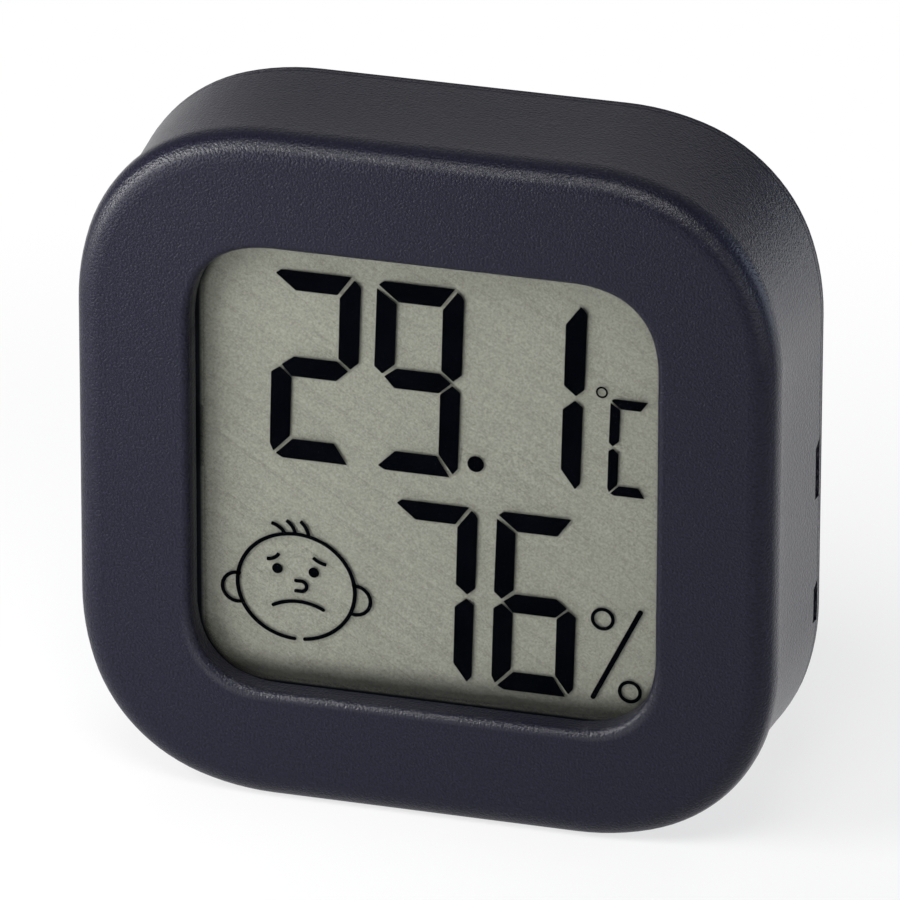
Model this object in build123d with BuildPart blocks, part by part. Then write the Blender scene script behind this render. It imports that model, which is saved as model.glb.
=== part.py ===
"""Small square thermometer and hygrometer with a liquid crystal display.

The housing is a deep front moulding closed by a thin rear cover. Behind it fold out a U-shaped
stand and turn a coin-operated battery door. All sizes are in millimetres. X runs to the right of
someone who reads the display, Y from the front to the back and Z up. The origin is at the middle
of the housing's lowest edge, half way between its front and its back.
"""
import os
from math import cos, hypot, radians, sin

from build123d import *

# Overall size
width = 43.0  # the housing is as tall as it is wide
depth = 11.5

# Outline of the housing: straight sides that lead through a gentle arc into each corner
corner_radius = 10.4
ease_radius = 15.2
ease_angle = 17.7

# Front housing
front_wall = 1.6
side_wall = 1.6
bead_depth = 2.3  # the rim that stands proud round the front
bead_back_chamfer = 0.25
front_radius = 1.65
waist_inset = 0.32  # how far the wall behind the rim draws in
rim_land = 0.75  # thickness of the rear cover's visible edge

# Window opening in the front
opening = 28.7
opening_corner = 4.2
opening_ease = 7.0
lip_radius = 0.45

# Display stack, from the front
gasket_thickness = 0.7
gasket_setback = 0.7
gasket_width = 0.9
gasket_corner = 1.0
polariser_thickness = 0.18
polariser_margin = 0.55
polariser_corner = 0.8
glass_thickness = 0.55
glass_chamfer = 0.3
glass_margin = 1.65  # glass beyond the opening at the top and the sides
contact_margin = 2.65  # and at the bottom, where the contacts are
contact_ledge = 2.1  # front glass that the rear glass leaves bare for the contacts
reflector_thickness = 0.25
reflector_margin = 0.4

# Display holder and its elastomer connector
holder_wall = 0.6
holder_gap = 0.1
holder_floor = 0.5
holder_corner = 2.0
holder_window = 20.0
holder_rib = 0.8
holder_rib_length = 6.0
connector_width = 1.5
connector_inset = 1.5

# Circuit board
board_clearance = 0.55  # between the holder's floor and the board
board_thickness = 1.0
board_gap = 0.4
screw_up = 10.0
boss_radius = 1.45
pilot_radius = 0.6
pilot_depth = 2.4
screw_radius = 0.57
screw_length = 3.2
screw_head_radius = 1.3
screw_head_height = 0.8
screw_cross_length = 1.4
screw_cross_width = 0.35
screw_hole_radius = 0.8

# Small parts on the board
chip_radius = 3.6
chip_height = 0.7
crystal_radius = 1.0
crystal_length = 6.0
crystal_inset = 3.05  # from the screws' middle inwards
crystal_up = -9.5
chip_inset = 2.85
sensor_size = 3.0
sensor_height = 1.0
sensor_port_radius = 0.5

# Coin cell, of the common 20 mm by 3.2 mm size
cell_radius = 10.0
cell_thickness = 3.2
cell_shoulder = 1.4  # from the can's side in to the cap
cell_cap_step = 0.25
cell_seal = 0.35
cell_edge = 0.5
cell_wall = 0.3
cell_play = 0.15
battery_z = -2.0  # centre of the cell above the middle of the housing

# Battery door
door_thickness = 1.1
door_gap = 0.1
door_cell_gap = 0.2
coin_slot_length = 12.0
coin_slot_width = 1.9
coin_slot_depth = 0.6
skirt_gap = 0.3
skirt_thickness = 0.6
lug_count = 3
lug_reach = 0.7
lug_thickness = 0.65
lug_angle = 22.0
lug_ledge = 0.4
door_turn = 50.0
lug_play = 3.0
door_edge = 0.2

# Spring contacts
contact_width = 3.0
contact_thickness = 0.25
contact_play = 0.03
contact_foot = 2.2

# Rear cover
plate_thickness = 1.3
rear_chamfer = 0.3
register_gap = 0.1
register_wall = 0.9
register_height = 1.0
well_wall = 0.7
well_depth = 4.7  # battery well, from the back face
well_rib = 0.8
well_rib_count = 5
hook_width = 5.0
hook_length = 2.6
hook_barb = 0.4
hook_gap = 0.1
hook_place = 6.0
side_hook = 6.5
hook_land = 0.3

# Fold-out stand
stand_width = 2.6
stand_land = 1.4  # rear cover left between the door and the stand
stand_thickness = 1.7
stand_gap = 0.25
stand_bed_gap = 0.2
stand_edge = 0.3
recess_wall = 0.9
hinge_up = 2.5  # hinge axis above the middle of the housing
hinge_depth = 1.3  # hinge axis below the back face
knuckle_radius = 1.25
heel = 0.9
heel_play = 0.06
hinge_pin_radius = 0.8
hinge_pin_length = 1.3
hinge_fit = 0.05
nail_width = 8.0  # hollow under the stand's foot for a fingernail
nail_reach = 1.9
nail_depth = 1.1

# Keyhole for hanging
keyhole_inset = 7.5
keyhole_head_radius = 2.0
keyhole_slot_radius = 1.1
keyhole_rise = 3.2
keyhole_rib = 0.8

# Unit button and its switch
button_side = 12.0
button_inset = 7.9
button_radius = 1.7
button_fit = 0.1
button_recess = 0.3
button_travel = 0.35
button_flange_radius = 2.4
button_flange = 0.4
button_stem_radius = 0.9
switch_size = 4.0
switch_height = 1.1
plunger_radius = 0.8
plunger_rise = 0.5
plunger_fit = 0.1
button_edge = 0.25

# Vents beside the sensor, magnets behind the lower corners
vent_length = 5.0
vent_width = 0.8
vent_pitch = 1.7
vent_count = 3
magnet_radius = 2.5
magnet_thickness = 1.5
magnet_side_inset = 5.1  # from the inside of the side wall
magnet_down_inset = 5.3
magnet_skin = 1.0
magnet_fit = 0.05
magnet_wall = 0.6
magnet_edge = 0.15

# Air notches in the right-hand side, where the front housing meets the rear cover
notch_depth = 0.7
long_notch = (-2.1, 1.7)
short_notch = (-10.2, -7.5)
notch_slope = 0.5

# Sizes worked out from the ones above. Depths are measured from the front face.
half = width / 2
cavity = half - side_wall
glass_width = opening + 2 * glass_margin
glass_top = opening / 2 + glass_margin
glass_bottom = opening / 2 + contact_margin
connector_length = glass_width - 2 * connector_inset
rib_side = glass_width / 2 + holder_gap + holder_wall + holder_gap
screw_side = rib_side + boss_radius
keyhole_up = half - keyhole_inset
button_up = half - button_inset
magnet_side = cavity - magnet_side_inset
magnet_down = cavity - magnet_down_inset
crystal_side = crystal_inset - screw_side
chip_side = screw_side - chip_inset
cell_cap_radius = cell_radius - cell_shoulder
rim_depth = depth - rim_land
rim_y = rim_depth - depth / 2
plate_depth = depth - plate_thickness
glass_depth = front_wall + gasket_thickness
rear_glass_depth = glass_depth + glass_thickness
reflector_depth = rear_glass_depth + glass_thickness
holder_depth = reflector_depth + reflector_thickness
board_depth = holder_depth + holder_floor + board_clearance
board_back = board_depth + board_thickness
door_depth = depth - door_thickness
cell_back = door_depth - door_cell_gap
cell_front = cell_back - cell_thickness
ledge_depth = door_depth - door_gap
lug_back = ledge_depth - lug_ledge - door_gap
lug_front = lug_back - lug_thickness
skirt_inner = cell_radius + skirt_gap
skirt_outer = skirt_inner + skirt_thickness
door_radius = skirt_outer + lug_reach
stand_inner = door_radius + stand_land
stand_outer = stand_inner + stand_width
well_radius = skirt_outer + door_gap
well_outer = well_radius + lug_reach + door_gap + well_wall
recess_depth = depth - stand_thickness - stand_bed_gap
hinge_at = depth - hinge_depth
knuckle_bed = hinge_at - knuckle_radius - stand_bed_gap
heel_sweep = hypot(hinge_depth, heel)
hook_tip = plate_depth - hook_length
hook_shoulder = hook_tip + 2 * hook_barb + hook_land + hook_barb / 2
button_back = depth - button_recess
button_front = board_back + switch_height + plunger_rise
hinge_y = hinge_at - depth / 2
recess_top = hinge_up + heel_sweep + heel_play
well_mouth = depth - well_depth
rib_back = lug_front - 2 * door_gap
lip_front = plate_depth - register_height
lug_middle = skirt_outer + lug_reach / 2
lug_start = 90 - lug_angle / 2
magnet_back = depth - magnet_skin
magnet_front = magnet_back - magnet_thickness
connector_z = -glass_bottom + contact_ledge / 2


def layer(at_depth):
    """Upright sketch plane at_depth behind the front face: x right, y up, normal to the front."""
    return Plane(origin=(0, at_depth - depth / 2, half), x_dir=(1, 0, 0), z_dir=(0, -1, 0))


def wall_plane(angle, shift):
    """Plane across the housing wall: x outwards, y to the back. Angle 0 is the top wall."""
    outward = Vector(sin(radians(angle)), 0, cos(radians(angle)))
    along = Vector(cos(radians(angle)), 0, -sin(radians(angle)))
    front_middle = Vector(0, -depth / 2, half)
    return Plane(origin=front_middle + along * shift, x_dir=outward, z_dir=outward.cross(Vector(0, 1, 0)))


def eased_square(size, corner, ease, inset, mode=Mode.ADD):
    """Draw a square whose sides ease into its corners, drawn in by inset, in the open sketch."""
    turn = radians(ease_angle)
    straight = size / 2 - ease + (ease - corner) * (cos(turn) - sin(turn))
    centre = straight + (ease - corner) * sin(turn)
    edge = size / 2 - inset
    with BuildLine() as outline:
        Line((0, edge), (straight, edge))
        CenterArc((straight, size / 2 - ease), ease - inset, 90 - ease_angle, ease_angle)
        CenterArc((centre, centre), corner - inset, ease_angle, 90 - 2 * ease_angle)
        CenterArc((size / 2 - ease, straight), ease - inset, 0, ease_angle)
        Line((edge, straight), (edge, 0))
        mirror(about=Plane.XZ)
        mirror(about=Plane.YZ)
    make_face(outline.edges(), mode=mode)


def housing_face(inset, mode=Mode.ADD):
    """The housing's outline, drawn in by inset."""
    eased_square(width, corner_radius, ease_radius, inset, mode)


def opening_face(outset, mode=Mode.ADD):
    """The window opening's outline, let out by outset."""
    eased_square(opening, opening_corner, opening_ease, -outset, mode)


def stand_face(grow, top):
    """The stand's U, let out by grow on both sides, with legs that end at top."""
    outer = stand_outer + grow
    inner = stand_inner - grow
    with BuildLine() as outline:
        Line((outer, top), (outer, battery_z))
        CenterArc((0, battery_z), outer, 0, -180)
        Line((-outer, battery_z), (-outer, top))
        Line((-outer, top), (-inner, top))
        Line((-inner, top), (-inner, battery_z))
        CenterArc((0, battery_z), inner, 180, 180)
        Line((inner, battery_z), (inner, top))
        Line((inner, top), (outer, top))
    make_face(outline.edges())


screw_places = [(-screw_side, -screw_up), (screw_side, -screw_up), (-screw_side, screw_up), (screw_side, screw_up)]
hook_places = [(0, -hook_place), (0, hook_place), (180, -hook_place), (180, hook_place), (90, -side_hook), (-90, side_hook)]
magnet_places = [(-magnet_side, -magnet_down), (magnet_side, -magnet_down)]
leg_middle = (stand_outer + stand_inner) / 2
leg_width = stand_outer - stand_inner

# Front housing: rim, waisted wall that flares back out to the rear, and the cavity behind the front
with BuildPart() as front_housing:
    with BuildSketch(layer(0)):
        housing_face(0)
    extrude(amount=-bead_depth)
    fillet(front_housing.faces().sort_by(Axis.Y)[0].edges(), front_radius)
    chamfer(front_housing.faces().sort_by(Axis.Y)[-1].edges(), bead_back_chamfer)
    waist_start = bead_depth - 2 * bead_back_chamfer
    waist_run = rim_depth - waist_start
    for share, inset in ((0, 1), (0.28, 1.0), (0.66, 0.6), (1, 0)):
        with BuildSketch(layer(waist_start + waist_run * share)):
            housing_face(waist_inset * inset)
    loft()
    with BuildSketch(layer(front_wall)):
        housing_face(side_wall)
    extrude(amount=-(rim_depth - front_wall), mode=Mode.SUBTRACT)
    with BuildSketch(layer(0)):
        opening_face(0)
    extrude(amount=-front_wall, mode=Mode.SUBTRACT)
    fillet(front_housing.faces().sort_by(Axis.Y)[0].inner_wires()[0].edges(), lip_radius)
    # Bosses that take the board screws
    with BuildSketch(layer(front_wall)):
        with Locations(*screw_places):
            Circle(boss_radius)
    extrude(amount=-(board_depth - front_wall))
    with BuildSketch(layer(board_depth)):
        with Locations(*screw_places):
            Circle(pilot_radius)
    extrude(amount=pilot_depth, mode=Mode.SUBTRACT)
    # Ribs that place the display holder from either side
    with BuildSketch(layer(front_wall)):
        with GridLocations(2 * rib_side + holder_rib, 0, 2, 1):
            Rectangle(holder_rib, holder_rib_length)
    extrude(amount=-(holder_depth - front_wall))
    # Pockets that the rear cover's hooks snap into
    for angle, shift in hook_places:
        with BuildSketch(wall_plane(angle, shift)):
            with BuildLine():
                Polyline(
                    (half - side_wall - hook_gap, hook_tip),
                    (half - side_wall + hook_barb, hook_tip),
                    (half - side_wall + hook_barb, hook_shoulder + hook_gap),
                    (half - side_wall - hook_gap, hook_shoulder + hook_gap),
                    close=True,
                )
            make_face()
        extrude(amount=hook_width / 2 + hook_gap, both=True, mode=Mode.SUBTRACT)
    # Air notches in the rear edge of the right-hand wall
    for low, high in (long_notch, short_notch):
        with BuildSketch(Plane.YZ.offset(half - side_wall - register_gap)):
            with BuildLine():
                Polyline(
                    (rim_y, half + low),
                    (rim_y - notch_depth, half + low),
                    (rim_y - notch_depth, half + high - notch_slope),
                    (rim_y, half + high),
                    close=True,
                )
            make_face()
        extrude(amount=2 * side_wall, mode=Mode.SUBTRACT)
front_housing.part.label = "front_housing"

# Rear cover: plate with a register that fits inside the front housing
with BuildPart() as rear_cover:
    with BuildSketch(layer(depth)):
        housing_face(0)
    extrude(amount=rim_land)
    chamfer(rear_cover.faces().sort_by(Axis.Y)[-1].edges(), rear_chamfer)
    with BuildSketch(layer(rim_depth)):
        housing_face(side_wall + register_gap)
    extrude(amount=rim_depth - plate_depth)
    with BuildSketch(layer(plate_depth)):
        housing_face(side_wall + register_gap)
        housing_face(side_wall + register_gap + register_wall, Mode.SUBTRACT)
    extrude(amount=register_height)
    # Battery well, and the backing of the stand's recess and of its hinge pockets
    with BuildSketch(layer(plate_depth)):
        with Locations((0, battery_z)):
            Circle(well_outer)
    extrude(amount=plate_depth - well_mouth)
    with BuildSketch(layer(plate_depth)):
        stand_face(stand_gap + recess_wall, recess_top + recess_wall)
    extrude(amount=plate_depth - recess_depth + recess_wall)
    with BuildSketch(layer(plate_depth)):
        with Locations((leg_middle, hinge_up), (-leg_middle, hinge_up)):
            Rectangle(
                leg_width + 2 * (hinge_pin_length + recess_wall),
                2 * (knuckle_radius + stand_gap + recess_wall),
            )
    extrude(amount=plate_depth - knuckle_bed + recess_wall)
    # Rib round the keyhole
    with BuildSketch(layer(plate_depth)):
        with Locations((0, keyhole_up)):
            Circle(keyhole_head_radius + keyhole_rib)
        with Locations((0, keyhole_up + keyhole_rise / 2)):
            SlotCenterToCenter(keyhole_rise, 2 * (keyhole_slot_radius + keyhole_rib), rotation=90)
    extrude(amount=keyhole_rib)
    # Tubes that hold the magnets
    with BuildSketch(layer(plate_depth)):
        with Locations(*magnet_places):
            Circle(magnet_radius + magnet_wall)
    extrude(amount=plate_depth - magnet_front)
    with BuildSketch(layer(magnet_front)):
        with Locations(*magnet_places):
            Circle(magnet_radius + magnet_fit)
    extrude(amount=-magnet_thickness, mode=Mode.SUBTRACT)
    # Hooks that snap into the front housing
    hook_out = half - side_wall - register_gap
    for angle, shift in hook_places:
        with BuildSketch(wall_plane(angle, shift)):
            with BuildLine():
                Polyline(
                    (hook_out - register_wall, plate_depth),
                    (hook_out, plate_depth),
                    (hook_out, hook_shoulder),
                    (hook_out + hook_barb, hook_shoulder - hook_barb / 2),
                    (hook_out + hook_barb, hook_tip + 2 * hook_barb),
                    (hook_out, hook_tip),
                    (hook_out - register_wall, hook_tip),
                    close=True,
                )
            make_face()
        extrude(amount=hook_width / 2, both=True)
    # Bore of the well and seat of the door
    with BuildSketch(layer(well_mouth)):
        with Locations((0, battery_z)):
            Circle(well_radius)
    extrude(amount=-well_depth, mode=Mode.SUBTRACT)
    with BuildSketch(layer(ledge_depth)):
        with Locations((0, battery_z)):
            Circle(door_radius + door_gap)
    extrude(amount=-(depth - ledge_depth), mode=Mode.SUBTRACT)
    # Undercut grooves that the door's lugs turn in, and the entries that let them in
    for number in range(lug_count):
        start = lug_start + number * 360 / lug_count
        with BuildLine() as groove_line:
            CenterArc((0, battery_z), lug_middle, start - door_turn - lug_play, lug_angle + door_turn + 2 * lug_play)
        with BuildLine() as entry_line:
            CenterArc((0, battery_z), lug_middle, start - door_turn - lug_play, lug_angle + 2 * lug_play)
        with BuildSketch(layer(lug_back + door_gap)):
            SlotArc(groove_line.edges()[0], lug_reach + 2 * door_gap)
        extrude(amount=lug_thickness + 2 * door_gap, mode=Mode.SUBTRACT)
        with BuildSketch(layer(lug_back)):
            SlotArc(entry_line.edges()[0], lug_reach + 2 * door_gap)
        extrude(amount=-(ledge_depth - lug_back), mode=Mode.SUBTRACT)
    # Ribs that centre the cell
    with BuildSketch(layer(rib_back)):
        with Locations((0, battery_z)):
            with PolarLocations((cell_radius + cell_play + well_radius + door_gap) / 2, well_rib_count, start_angle=54):
                Rectangle(well_radius + door_gap - cell_radius - cell_play, well_rib)
    extrude(amount=rib_back - well_mouth)
    # Recess of the stand, pockets of its knuckles and blind bores of its pins
    with BuildSketch(layer(recess_depth)):
        stand_face(stand_gap, recess_top)
    extrude(amount=-(depth - recess_depth), mode=Mode.SUBTRACT)
    with BuildSketch(layer(knuckle_bed)):
        with Locations((leg_middle, hinge_up), (-leg_middle, hinge_up)):
            Rectangle(leg_width + 2 * stand_gap, 2 * (knuckle_radius + stand_gap))
    extrude(amount=-(depth - knuckle_bed), mode=Mode.SUBTRACT)
    for side in (1, -1):
        with BuildSketch(Plane.YZ.offset(side * stand_outer)):
            with Locations((hinge_y, half + hinge_up)):
                Circle(hinge_pin_radius + hinge_fit)
        extrude(amount=side * (hinge_pin_length + hinge_fit), mode=Mode.SUBTRACT)
    # Hollow for a fingernail below the stand's foot
    with BuildSketch(layer(depth)):
        with Locations((0, battery_z - stand_outer - stand_gap)):
            Ellipse(nail_width / 2, nail_reach)
    extrude(amount=nail_depth, mode=Mode.SUBTRACT)
    # Keyhole
    with BuildSketch(layer(depth)):
        with Locations((0, keyhole_up)):
            Circle(keyhole_head_radius)
        with Locations((0, keyhole_up + keyhole_rise / 2)):
            SlotCenterToCenter(keyhole_rise, 2 * keyhole_slot_radius, rotation=90)
    extrude(amount=plate_thickness + keyhole_rib, mode=Mode.SUBTRACT)
    # Hole of the unit button and vents beside the sensor
    with BuildSketch(layer(depth)):
        with Locations((button_side, button_up)):
            Circle(button_radius + button_fit)
        with Locations((-button_side, button_up)):
            with GridLocations(0, vent_pitch, 1, vent_count):
                SlotOverall(vent_length, vent_width)
    extrude(amount=plate_thickness, mode=Mode.SUBTRACT)
    # Ways for the air behind the notches of the front housing
    for low, high in (long_notch, short_notch):
        with BuildSketch(Plane.YZ.offset(half - side_wall - register_gap)):
            with Locations((rim_y - (rim_depth - lip_front) / 2, half + (low + high) / 2)):
                Rectangle(rim_depth - lip_front, high - low)
        extrude(amount=-register_wall - register_gap, mode=Mode.SUBTRACT)
rear_cover.part.label = "rear_cover"

# Display: foam gasket, front polariser, two glasses and the reflecting rear polariser
with BuildPart() as display_gasket:
    gasket_inner = opening + 2 * gasket_setback
    with BuildSketch(layer(front_wall)):
        RectangleRounded(gasket_inner + 2 * gasket_width, gasket_inner + 2 * gasket_width, gasket_corner)
        RectangleRounded(gasket_inner, gasket_inner, gasket_corner, mode=Mode.SUBTRACT)
    extrude(amount=-gasket_thickness)
display_gasket.part.label = "display_gasket"

with BuildPart() as front_polariser:
    with BuildSketch(layer(glass_depth - polariser_thickness)):
        polariser_size = opening + 2 * polariser_margin
        RectangleRounded(polariser_size, polariser_size, polariser_corner)
    extrude(amount=-polariser_thickness)
front_polariser.part.label = "front_polariser"

with BuildPart() as front_glass:
    with BuildSketch(layer(glass_depth)):
        with Locations((0, (glass_top - glass_bottom) / 2)):
            Rectangle(glass_width, glass_top + glass_bottom)
    extrude(amount=-glass_thickness)
    chamfer(front_glass.edges().filter_by(Axis.Y), glass_chamfer)
front_glass.part.label = "front_glass"

with BuildPart() as rear_glass:
    with BuildSketch(layer(rear_glass_depth)):
        with Locations((0, (glass_top - glass_bottom + contact_ledge) / 2)):
            Rectangle(glass_width, glass_top + glass_bottom - contact_ledge)
    extrude(amount=-glass_thickness)
    chamfer(rear_glass.edges().filter_by(Axis.Y), glass_chamfer)
rear_glass.part.label = "rear_glass"

with BuildPart() as rear_reflector:
    with BuildSketch(layer(reflector_depth)):
        RectangleRounded(opening + 2 * reflector_margin, opening + 2 * reflector_margin, polariser_corner)
    extrude(amount=-reflector_thickness)
rear_reflector.part.label = "rear_reflector"

# Holder that carries the display on the circuit board
with BuildPart() as display_holder:
    holder_width = glass_width + 2 * (holder_gap + holder_wall)
    holder_height = glass_top + glass_bottom + 2 * (holder_gap + holder_wall)
    holder_middle = (glass_top - glass_bottom) / 2
    holder_front = front_wall + holder_gap
    with BuildSketch(layer(holder_front)):
        with Locations((0, holder_middle)):
            RectangleRounded(holder_width, holder_height, holder_corner)
    extrude(amount=-(board_depth - holder_front))
    with BuildSketch(layer(holder_front)):
        with Locations((0, holder_middle)):
            Rectangle(glass_width + 2 * holder_gap, glass_top + glass_bottom + 2 * holder_gap)
    extrude(amount=-(holder_depth - holder_front), mode=Mode.SUBTRACT)
    with BuildSketch(layer(board_depth)):
        with Locations((0, holder_middle)):
            RectangleRounded(holder_width - 2 * holder_wall, holder_height - 2 * holder_wall, holder_corner - holder_wall)
    extrude(amount=board_depth - holder_depth - holder_floor, mode=Mode.SUBTRACT)
    with BuildSketch(layer(holder_depth)):
        RectangleRounded(holder_window, holder_window, holder_corner)
        with Locations((0, connector_z)):
            Rectangle(connector_length + 2 * holder_gap, connector_width + 2 * holder_gap)
    extrude(amount=-holder_floor, mode=Mode.SUBTRACT)
display_holder.part.label = "display_holder"

with BuildPart() as elastomer_connector:
    with BuildSketch(layer(rear_glass_depth)):
        with Locations((0, connector_z)):
            Rectangle(connector_length, connector_width)
    extrude(amount=-(board_depth - rear_glass_depth))
elastomer_connector.part.label = "elastomer_connector"

# Circuit board and what is soldered to it
with BuildPart() as circuit_board:
    with BuildSketch(layer(board_depth)):
        housing_face(side_wall + board_gap)
        with Locations(*screw_places):
            Circle(screw_hole_radius, mode=Mode.SUBTRACT)
    extrude(amount=-board_thickness)
circuit_board.part.label = "circuit_board"

with BuildPart() as chip_cover:
    with BuildSketch(layer(board_depth)):
        Circle(chip_radius)
    extrude(amount=chip_height)
    chamfer(chip_cover.faces().sort_by(Axis.Y)[0].edges(), chip_height * 0.6, chip_height * 1.6)
chip_cover.part.label = "chip_cover"

with BuildPart() as crystal:
    with BuildSketch(Plane.XY.offset(half + crystal_up - crystal_length / 2)):
        with Locations((crystal_side, board_back + crystal_radius - depth / 2)):
            Circle(crystal_radius)
    extrude(amount=crystal_length)
    chamfer(crystal.edges(), crystal_radius * 0.2)
crystal.part.label = "crystal"

with BuildPart() as humidity_sensor:
    with BuildSketch(layer(board_back)):
        with Locations((-button_side, button_up)):
            RectangleRounded(sensor_size, sensor_size, 0.2)
    extrude(amount=-sensor_height)
    with BuildSketch(layer(board_back + sensor_height)):
        with Locations((-button_side, button_up)):
            Circle(sensor_port_radius)
    extrude(amount=sensor_height / 2, mode=Mode.SUBTRACT)
humidity_sensor.part.label = "humidity_sensor"


def chip(place, length, breadth, height):
    """Draw and extrude a small block on the back of the circuit board, in the open part."""
    with BuildSketch(layer(board_back)) as footprint:
        with Locations(place):
            Rectangle(length, breadth)
    extrude(footprint.sketch, amount=-height)


with BuildPart() as thermistor:
    chip((-button_side, button_up - 3.4), 1.6, 0.8, 0.7)
thermistor.part.label = "thermistor"

with BuildPart() as capacitor:
    chip((chip_side, -6.5), 1.25, 2.0, 1.0)
capacitor.part.label = "capacitor"

with BuildPart() as resistor:
    chip((chip_side, -10.0), 0.8, 1.6, 0.5)
resistor.part.label = "resistor"

with BuildPart() as unit_switch:
    chip((button_side, button_up), switch_size, switch_size, switch_height)
    with BuildSketch(layer(board_back + switch_height)):
        with Locations((button_side, button_up)):
            Circle(plunger_radius + plunger_fit)
    extrude(amount=switch_height, mode=Mode.SUBTRACT)
unit_switch.part.label = "unit_switch"

with BuildPart() as switch_plunger:
    with BuildSketch(layer(button_front)):
        with Locations((button_side, button_up)):
            Circle(plunger_radius)
    extrude(amount=button_front - board_back - button_travel - plunger_fit)
switch_plunger.part.label = "switch_plunger"

# Button that changes the unit, held behind the cover by its flange
with BuildPart() as unit_button:
    with BuildSketch(layer(button_back)):
        with Locations((button_side, button_up)):
            Circle(button_radius)
    extrude(amount=button_back - plate_depth + button_fit)
    chamfer(unit_button.faces().sort_by(Axis.Y)[-1].edges(), button_edge)
    with BuildSketch(layer(plate_depth - button_fit)):
        with Locations((button_side, button_up)):
            Circle(button_flange_radius)
    extrude(amount=button_flange)
    with BuildSketch(layer(plate_depth - button_fit - button_flange)):
        with Locations((button_side, button_up)):
            Circle(button_stem_radius)
    extrude(amount=plate_depth - button_fit - button_flange - button_front)
unit_button.part.label = "unit_button"

# Screws that hold the board to the bosses of the front housing
screws = []
for number, place in enumerate(screw_places):
    with BuildPart() as board_screw:
        with BuildSketch(layer(board_back)):
            with Locations(place):
                Circle(screw_head_radius)
        extrude(amount=-screw_head_height)
        chamfer(board_screw.faces().sort_by(Axis.Y)[-1].edges(), screw_head_height / 3)
        with BuildSketch(layer(board_back)):
            with Locations(place):
                Circle(screw_radius)
        extrude(amount=screw_length)
        with BuildSketch(layer(board_back + screw_head_height)):
            with Locations(place):
                Rectangle(screw_cross_length, screw_cross_width)
                Rectangle(screw_cross_width, screw_cross_length)
        extrude(amount=screw_head_height / 2, mode=Mode.SUBTRACT)
    board_screw.part.label = f"board_screw_{number + 1}"
    screws.append(board_screw)

# Coin cell: steel can, seal and the smaller cap that faces the board
with BuildPart() as cell_can:
    with BuildSketch(layer(cell_back)):
        with Locations((0, battery_z)):
            Circle(cell_radius)
    extrude(amount=cell_thickness - cell_cap_step)
    chamfer(cell_can.faces().sort_by(Axis.Y)[0].edges(), cell_edge)
    with BuildSketch(layer(cell_front + cell_cap_step)):
        with Locations((0, battery_z)):
            Circle(cell_cap_radius + cell_seal)
    extrude(amount=-(cell_thickness - cell_cap_step - cell_wall), mode=Mode.SUBTRACT)
cell_can.part.label = "cell_can"

with BuildPart() as cell_seal_ring:
    with BuildSketch(layer(cell_front + cell_cap_step)):
        with Locations((0, battery_z)):
            Circle(cell_cap_radius + cell_seal)
            Circle(cell_cap_radius, mode=Mode.SUBTRACT)
    extrude(amount=-(cell_thickness - cell_cap_step - cell_wall))
cell_seal_ring.part.label = "cell_seal"

with BuildPart() as cell_cap:
    with BuildSketch(layer(cell_front)):
        with Locations((0, battery_z)):
            Circle(cell_cap_radius)
    extrude(amount=-(cell_thickness - cell_wall))
    chamfer(cell_cap.faces().sort_by(Axis.Y)[0].edges(), cell_cap_step)
cell_cap.part.label = "cell_cap"

# Spring contacts: one presses on the cap, the other on the side of the can
with BuildPart() as cap_contact:
    with BuildSketch(Plane.YZ.offset(-contact_width / 2)):
        base_y = board_back - depth / 2
        tip_y = cell_front - contact_play - depth / 2
        middle_z = half + battery_z
        with BuildLine():
            Polyline(
                (base_y, middle_z - 7),
                (base_y, middle_z - 3),
                (tip_y - contact_thickness, middle_z + 1),
                (tip_y - contact_thickness, middle_z + 3),
                (tip_y, middle_z + 3),
                (tip_y, middle_z + 1 - contact_thickness / 2),
                (base_y + contact_thickness, middle_z - 3 - contact_thickness / 2),
                (base_y + contact_thickness, middle_z - 7),
                close=True,
            )
        make_face()
    extrude(amount=contact_width)
cap_contact.part.label = "cap_contact"

with BuildPart() as can_contact:
    with BuildSketch(Plane.YZ.offset(-contact_width / 2)):
        blade_z = half + battery_z + cell_radius + contact_play
        tip_y = lug_front - 2 * door_gap - depth / 2
        with BuildLine():
            Polyline(
                (base_y, blade_z),
                (tip_y, blade_z),
                (tip_y, blade_z + contact_thickness),
                (base_y + contact_thickness, blade_z + contact_thickness),
                (base_y + contact_thickness, blade_z + contact_foot),
                (base_y, blade_z + contact_foot),
                close=True,
            )
        make_face()
    extrude(amount=contact_width)
can_contact.part.label = "can_contact"

# Magnets in the lower corners
magnets = []
for number, place in enumerate(magnet_places):
    with BuildPart() as magnet:
        with BuildSketch(layer(magnet_front)):
            with Locations(place):
                Circle(magnet_radius)
        extrude(amount=-magnet_thickness)
        chamfer(magnet.edges(), magnet_edge)
    magnet.part.label = f"magnet_{number + 1}"
    magnets.append(magnet)

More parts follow.
